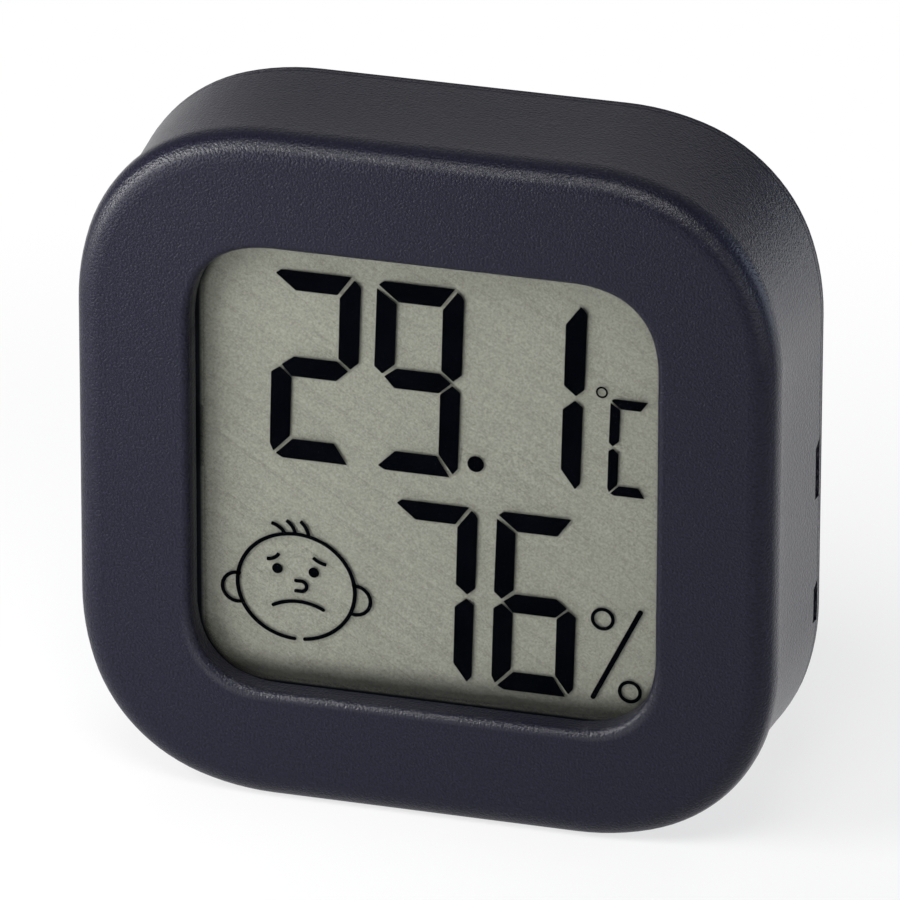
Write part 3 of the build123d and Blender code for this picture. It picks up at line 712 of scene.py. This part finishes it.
def spun_line(name, centre, radius, first, sweep, line, depth, steps, lead=0.0, stretch=1.0):
    """A pen line along an arc that starts at the angle first, counter-clockwise from the right."""
    middle = on_display(centre)
    across = [Vector((cos(turn), 0, sin(turn))) for turn in (first, first + sweep)]
    piece = begin(
        bpy.ops.mesh.primitive_plane_add,
        name,
        size=line,
        location=middle + across[0] * radius,
        rotation=(pi / 2, 0, 0),
    )
    bpy.ops.object.mode_set(mode="EDIT")
    # Of the little plane only one side stays, laid across the line
    pick(piece, lambda co: co.z > (middle + across[0] * radius).z)
    bpy.ops.mesh.delete(type="VERT")
    shape = bmesh.from_edit_mesh(piece.data)
    for vertex, reach in zip(shape.verts, (-line / 2, line / 2)):
        vertex.co = middle + across[0] * (radius + reach)
    bmesh.update_edit_mesh(piece.data)
    bpy.ops.mesh.select_all(action="SELECT")
    bpy.ops.mesh.spin(steps=steps, angle=sweep, center=middle, axis=(0, 1, 0))
    tips = [middle + way * radius for way in across]
    # A tip's two corners lie half a line's width from it
    beside = 0.51 * line
    if lead:
        for number, tip in enumerate(tips):
            pick(piece, lambda co: (co - tip).length < beside)
            bpy.ops.mesh.extrude_region_move(TRANSFORM_OT_translate={"value": (-lead, 0, 0)})
            tips[number] = tip - Vector((lead, 0, 0))
    pick(piece, lambda co: min((co - tip).length for tip in tips) < beside)
    bpy.ops.mesh.bevel(offset=0.45 * line, segments=4, affect="VERTICES")
    bpy.ops.mesh.select_all(action="SELECT")
    bpy.ops.transform.resize(value=(stretch, 1, 1), center_override=middle)
    thicken(depth)
    return piece


def unite(name, pieces):
    """Join pieces into one object, as the segments of one sign."""
    bpy.ops.object.select_all(action="DESELECT")
    for piece in pieces:
        piece.select_set(True)
    bpy.context.view_layer.objects.active = pieces[0]
    bpy.ops.object.join()
    whole = bpy.context.object
    whole.name = name
    whole.data.name = name
    return whole


def hand_over(piece, material):
    """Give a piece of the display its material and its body."""
    piece.data.materials.clear()
    piece.data.materials.append(material)
    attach(piece, "housing")


# The corners of a sign's segments: side (-1 left, 1 right) and level (-1 bottom, 0 middle,
# 1 top) of the nearest corner or side's middle, then strokes to the right and up from there
SEGMENTS = {
    "a": [
        (1, 1, -0.45, 0),
        (-1, 1, 0.36, 0),
        (-1, 1, 0.10, -0.21),
        (-1, 1, 1.09, -1.0),
        (1, 1, -1.13, -1.0),
    ],
    "b": [
        (1, 1, 0, -0.55),
        (1, 1, -0.10, -0.36),
        (1, 1, -0.33, -0.16),
        (1, 1, -1.02, -1.13),
        (1, 0, -1.0, 0.58),
        (1, 0, -0.40, 0.10),
        (1, 0, 0, 0.47),
    ],
    "c": [
        (1, 0, -0.04, -0.44),
        (1, 0, -0.44, -0.13),
        (1, 0, -1.02, -0.63),
        (1, -1, -1.0, 1.11),
        (1, -1, -0.28, 0.16),
        (1, -1, -0.04, 0.48),
    ],
    "d": [
        (1, -1, -0.43, 0),
        (1, -1, -1.10, 1.02),
        (-1, -1, 1.13, 1.02),
        (-1, -1, 0.32, 0.19),
        (-1, -1, 0.68, 0),
    ],
    "e": [
        (-1, 0, 0.42, -0.15),
        (-1, 0, 0, -0.45),
        (-1, -1, 0.02, 0.68),
        (-1, -1, 0.21, 0.29),
        (-1, -1, 1.0, 1.15),
        (-1, 0, 1.0, -0.65),
    ],
    "f": [
        (-1, 1, 0.02, -0.41),
        (-1, 0, 0, 0.44),
        (-1, 0, 0.40, 0.09),
        (-1, 0, 1.0, 0.63),
        (-1, 1, 1.0, -1.10),
    ],
    "g": [
        (1, 0, -0.50, -0.02),
        (1, 0, -1.07, 0.43),
        (-1, 0, 1.08, 0.43),
        (-1, 0, 0.50, -0.03),
        (-1, 0, 1.01, -0.58),
        (1, 0, -1.08, -0.58),
    ],
}


def seven_segments(name, lit, middle_x, middle_z, width, height, stroke, lean, rounding, depth):
    """One seven-segment sign with mitred ends and a thin clear gap between its segments."""

    def at(side, level, right, up):
        """Place a corner of the table in metres across the display."""
        z = level * height / 2 + up * stroke
        x = side * width / 2 + right * stroke
        return (middle_x + x + z * sin(lean), middle_z + z)

    pieces = []
    for key in lit:
        corners = [at(*corner) for corner in SEGMENTS[key]]
        pieces.append(cut_plate(f"{name}_{key}", corners, depth, rounding))
    return unite(name, pieces)


# ---------------------------------------------------------------- operators


class HYGROMETER_OT_housing(Operator):
    """Finish the moulded housing, its rear cover and what moves in it"""

    bl_idname = "hygrometer.housing"
    bl_label = "Housing"

    def execute(self, context):
        colours = context.scene.hygrometer_colours
        # Size and height of the grains, in mm: they are about 0.1 mm and drawn larger to show
        front, sides, back = (0.14, 0.07), (0.16, 0.07), (0.2, 0.1)
        for name, node, grains, near, far in (
            ("abs_moulded_black", "front_housing", (front, sides), 0.75, 0.15),
            # The rear cover's side begins right at its front edge
            ("abs_moulded_rear", "rear_cover", (back,), -1, 0.6),
        ):
            paint(moulded_abs(name, node, grains, near * MM, far * MM, colours), node)
        paint(eroded_abs(colours), "stand", "battery_door")
        paint(polished_abs(colours), "unit_button")
        return {"FINISHED"}


class HYGROMETER_OT_display(Operator):
    """Finish the display's layers, from the foam frame to the reflector"""

    bl_idname = "hygrometer.display"
    bl_label = "Display layers"

    def execute(self, context):
        paint(foam(), "display_gasket")
        paint(polariser(), "front_polariser")
        paint(reflector(context.scene.hygrometer_colours), "front_glass", "rear_reflector")
        paint(glass(), "rear_glass")
        paint(holder_plastic(), "display_holder", "unit_switch", "switch_plunger")
        paint(zebra(), "elastomer_connector")
        return {"FINISHED"}


class HYGROMETER_OT_electronics(Operator):
    """Finish the circuit board, its parts, the screws, contacts and magnets"""

    bl_idname = "hygrometer.electronics"
    bl_label = "Electronics"

    def execute(self, context):
        paint(laminate(), "circuit_board")
        paint(chip_epoxy(), "chip_cover")
        # The smaller the pattern's scale along an axis, the longer its lines along that
        upright, inwards = (1, 1, 0.06), (1, 0.3, 1)
        plated = ["crystal", *(f"board_screw_{number}" for number in (1, 2, 3, 4))]
        for name, dark, pale, along, nodes in (
            ("steel_nickel_plated", "#9b9d9f", "#c8cacb", upright, plated),
            ("bronze_rolled", "#a5794a", "#c59a66", upright, ["cap_contact", "can_contact"]),
            ("magnet_nickel_plated", "#a0a2a4", "#bfc1c3", inwards, ["magnet_1", "magnet_2"]),
        ):
            paint(bright_metal(name, dark, pale, along), *nodes)
        # Each with the axis that runs from one tinned end to the other
        for name, body, body_pale, node, axis in (
            ("ceramic_fired_black", "#1c1b1b", "#262424", "thermistor", "X"),
            ("ceramic_fired_tan", "#8a6f52", "#9a7e60", "capacitor", "Z"),
            ("ceramic_fired_dark", "#151517", "#202023", "resistor", "Z"),
            ("sensor_moulded", "#2a2a2c", "#353537", "humidity_sensor", "X"),
        ):
            paint(fired_ceramic(name, body, body_pale, node, axis), node)
        return {"FINISHED"}


class HYGROMETER_OT_cell(Operator):
    """Finish the coin cell"""

    bl_idname = "hygrometer.cell"
    bl_label = "Coin cell"

    def execute(self, context):
        paint(drawn_steel(), "cell_can", "cell_cap")
        paint(nylon(), "cell_seal")
        return {"FINISHED"}


class HYGROMETER_OT_digits(Operator):
    """Make the digits of both rows and the decimal point"""

    bl_idname = "hygrometer.digits"
    bl_label = "Digits"

    def execute(self, context):
        sizes = context.scene.hygrometer_sizes
        ink = crystal_ink(context.scene.hygrometer_colours)
        upper = (sizes.digit_width, sizes.digit_height, sizes.digit_stroke)
        lower = tuple(sizes.lower_share * size for size in upper)
        # name, dark segments, middle in mm across the display, sizes
        rows = [
            ("temperature_tens", "abged", -7.33, 5.93, upper),
            ("temperature_units", "abcdfg", -1.01, 5.93, upper),
            ("temperature_tenths", "bc", 6.49, 5.93, upper),
            ("humidity_tens", "abc", -0.02, -7.73, lower),
            ("humidity_units", "acdefg", 6.26, -7.73, lower),
        ]
        shared = (sizes.digit_lean, sizes.digit_corner, sizes.ink_depth)
        for name, lit, x, z, size in rows:
            hand_over(seven_segments(name, lit, x * MM, z * MM, *size, *shared), ink)
        point = dot("decimal_point", (2.56 * MM, 0.92 * MM), 0.51 * MM, sizes.ink_depth)
        hand_over(point, ink)
        return {"FINISHED"}


class HYGROMETER_OT_signs(Operator):
    """Make the degree ring, the unit letter and the percent sign"""

    bl_idname = "hygrometer.signs"
    bl_label = "Unit signs"

    def execute(self, context):
        sizes = context.scene.hygrometer_sizes
        ink = crystal_ink(context.scene.hygrometer_colours)
        depth = sizes.ink_depth
        hand_over(ring("degree_ring", (10.25 * MM, 6.5 * MM), 0.31 * MM, 0.11 * MM, depth), ink)
        letter = seven_segments(
            "unit_letter",
            "adef",
            11.97 * MM,
            3.07 * MM,
            sizes.sign_width,
            sizes.sign_height,
            sizes.sign_stroke,
            sizes.digit_lean,
            sizes.digit_corner / 2,
            depth,
        )
        hand_over(letter, ink)
        for name, x, z in (("percent_upper", 10.41, -8.13), ("percent_lower", 12.11, -12.67)):
            hand_over(ring(name, (x * MM, z * MM), 0.63 * MM, sizes.ring_line, depth), ink)
        # The slash: its two ends, half its width, and the corners of the bar along it
        low, high, half = Vector((9.85, -13.26)) * MM, Vector((12.71, -7.42)) * MM, 0.16 * MM
        along = (high - low).normalized()
        across = Vector((-along.y, along.x)) * half
        low, high = low - along * half, high + along * half
        corners = [tuple(p) for p in (low - across, high - across, high + across, low + across)]
        hand_over(cut_plate("percent_slash", corners, depth, half * 0.9), ink)
        return {"FINISHED"}


class HYGROMETER_OT_face(Operator):
    """Make the comfort face: a plain line drawing in the lower left of the display"""

    bl_idname = "hygrometer.face"
    bl_label = "Comfort face"

    def execute(self, context):
        sizes = context.scene.hygrometer_sizes
        ink = crystal_ink(context.scene.hygrometer_colours)
        line, depth = sizes.face_line, sizes.ink_depth
        centre = (-8.54 * MM, -8.47 * MM)
        # The head is a little broader than high and its outline open for 6.5 degrees at the chin
        first, sweep = radians(-83.5), radians(353.5)
        head = spun_line("head", centre, 3.43 * MM, first, sweep, line, depth, 72, stretch=1.064)
        # name, start and end in mm across the display, bulge, lead
        strokes = [
            ("ear_left", (-11.97, -8.03), (-11.95, -9.86), 1.18, 0),
            ("ear_right", (-5.11, -9.82), (-5.09, -7.99), 1.18, 0),
            ("hair_left", (-9.25, -5.03), (-10.08, -4.48), 0.1, 0),
            ("hair_middle", (-8.59, -4.98), (-9.14, -4.21), 0.1, 0),
            ("hair_right", (-7.76, -5.05), (-8.27, -4.17), 0.1, 0),
            ("brow_left", (-10.37, -6.85), (-9.6, -6.42), 0.13, 0),
            ("brow_right", (-7.48, -6.44), (-6.65, -6.81), 0.08, 0),
            ("nose", (-8.25, -8.74), (-8.25, -8.08), 0.36, 0.42),
            ("mouth", (-6.76, -9.85), (-10.07, -9.89), 0.44, 0),
        ]
        pieces = [head]
        for name, begins, ends, bulge, lead in strokes:
            tips = [(x * MM, z * MM) for x, z in (begins, ends)]
            pieces.append(pen_line(f"face_{name}", *tips, bulge * MM, line, depth, lead * MM))
        for name, x in (("eye_left", -9.71), ("eye_right", -7.44)):
            pieces.append(dot(f"face_{name}", (x * MM, -7.42 * MM), 0.33 * MM, depth))
        hand_over(unite("comfort_face", pieces), ink)
        return {"FINISHED"}


def outwards(azimuth, elevation):
    """The direction that lies that far round to the right of the front and that far up."""
    flat = cos(elevation)
    return Vector((sin(azimuth) * flat, -cos(azimuth) * flat, sin(elevation)))


class HYGROMETER_OT_stage(Operator):
    """Set the camera, the lights, the floor and the world"""

    bl_idname = "hygrometer.stage"
    bl_label = "Studio stage"

    def execute(self, context):
        stage = context.scene.hygrometer_stage
        back = outwards(stage.azimuth, stage.elevation)
        level = Vector((0, 0, 1)).cross(back).normalized()
        rise = back.cross(level)
        right = level * cos(stage.roll) + rise * sin(stage.roll)
        up = rise * cos(stage.roll) - level * sin(stage.roll)
        # The fitted camera turns about a point 0.143 mm before the middle
        pivot = Vector((0, -0.143 * MM, MIDDLE))
        aim = pivot + right * stage.shift_right + up * stage.shift_up
        turn = Matrix((right, up, back)).transposed()
        bpy.ops.object.select_all(action="DESELECT")
        bpy.ops.object.camera_add(location=aim + back * stage.distance, rotation=turn.to_euler())
        camera = context.object
        camera.name = "studio_camera"
        camera.data.sensor_width = 36
        camera.data.lens = stage.lens
        camera.data.clip_start = 0.01
        context.scene.camera = camera

        # name, azimuth and elevation in degrees, distance and side in metres, share of white, hue
        white, window = (1, 1, 1), (0.65, 0.78, 1.0)
        softboxes = [
            ("key_light", -50, 18, 0.11, 0.07, stage.key, white),
            ("back_light", 190, 25, 0.8, 0.9, stage.back, white),
            ("low_light", 180, 0, 0.2, 0.036, stage.low, white),
            ("fill_light", 105, 8, 0.6, 0.4, stage.fill, window),
            ("top_light", 8, 56, 0.5, 0.2, stage.top, white),
        ]
        for name, azimuth, elevation, distance, side, share, hue in softboxes:
            away = outwards(radians(azimuth), radians(elevation))
            bpy.ops.object.light_add(
                type="AREA",
                location=Vector((0, 0, MIDDLE)) + away * distance,
                rotation=away.to_track_quat("Z", "Y").to_euler(),
            )
            light = context.object
            light.name = name
            light.data.size = side
            # A white surface that faces the softbox gets this share of full white from it
            light.data.energy = share * pi**2 * distance**2
            light.data.color = hue

        # A round floor: a face of 1 m radius in the middle, with a ring 3 m broad round it
        floor = begin(
            bpy.ops.mesh.primitive_circle_add,
            "studio_floor",
            vertices=96,
            radius=4,
            fill_type="NGON",
            location=(0, 0, 0),
        )
        bpy.ops.object.mode_set(mode="EDIT")
        bpy.ops.mesh.select_all(action="SELECT")
        bpy.ops.mesh.inset(thickness=3)
        bpy.ops.object.mode_set(mode="OBJECT")
        floor.data.materials.append(studio_floor(context.scene.hygrometer_colours, stage.shadow))

        world = bpy.data.worlds.new("studio_world")
        context.scene.world = world
        world.use_nodes = True
        around = world.node_tree.nodes["Background"]
        around.inputs["Color"].default_value = (1, 1, 1, 1)
        around.inputs["Strength"].default_value = stage.ambient
        context.scene.view_settings.view_transform = "Standard"
        return {"FINISHED"}


class HYGROMETER_PT_sidebar(Panel):
    """The hygrometer's pieces, sizes and colours"""

    bl_idname = "HYGROMETER_PT_sidebar"
    bl_label = "Hygrometer"
    bl_space_type = "VIEW_3D"
    bl_region_type = "UI"
    bl_category = "Hygrometer"

    def draw(self, context):
        for piece in OPERATORS:
            self.layout.operator(piece.bl_idname)
        for group in GROUPS:
            box = self.layout.box()
            settings = getattr(context.scene, group)
            for key in settings.__annotations__:
                box.prop(settings, key)


GROUPS = {
    "hygrometer_sizes": HygrometerSizes,
    "hygrometer_colours": HygrometerColours,
    "hygrometer_stage": HygrometerStage,
}
OPERATORS = (
    HYGROMETER_OT_stage,
    HYGROMETER_OT_housing,
    HYGROMETER_OT_display,
    HYGROMETER_OT_electronics,
    HYGROMETER_OT_cell,
    HYGROMETER_OT_digits,
    HYGROMETER_OT_signs,
    HYGROMETER_OT_face,
)


def register():
    for kind in (*GROUPS.values(), *OPERATORS, HYGROMETER_PT_sidebar):
        bpy.utils.register_class(kind)
    for name, kind in GROUPS.items():
        setattr(bpy.types.Scene, name, PointerProperty(type=kind))


def unregister():
    for name in GROUPS:
        delattr(bpy.types.Scene, name)
    for kind in (HYGROMETER_PT_sidebar, *reversed(OPERATORS), *GROUPS.values()):
        bpy.utils.unregister_class(kind)


def main():
    """Run every operator."""
    register()
    bpy.ops.hygrometer.stage()
    bpy.ops.hygrometer.housing()
    bpy.ops.hygrometer.display()
    bpy.ops.hygrometer.electronics()
    bpy.ops.hygrometer.cell()
    bpy.ops.hygrometer.digits()
    bpy.ops.hygrometer.signs()
    bpy.ops.hygrometer.face()


if __name__ == "__main__":
    main()
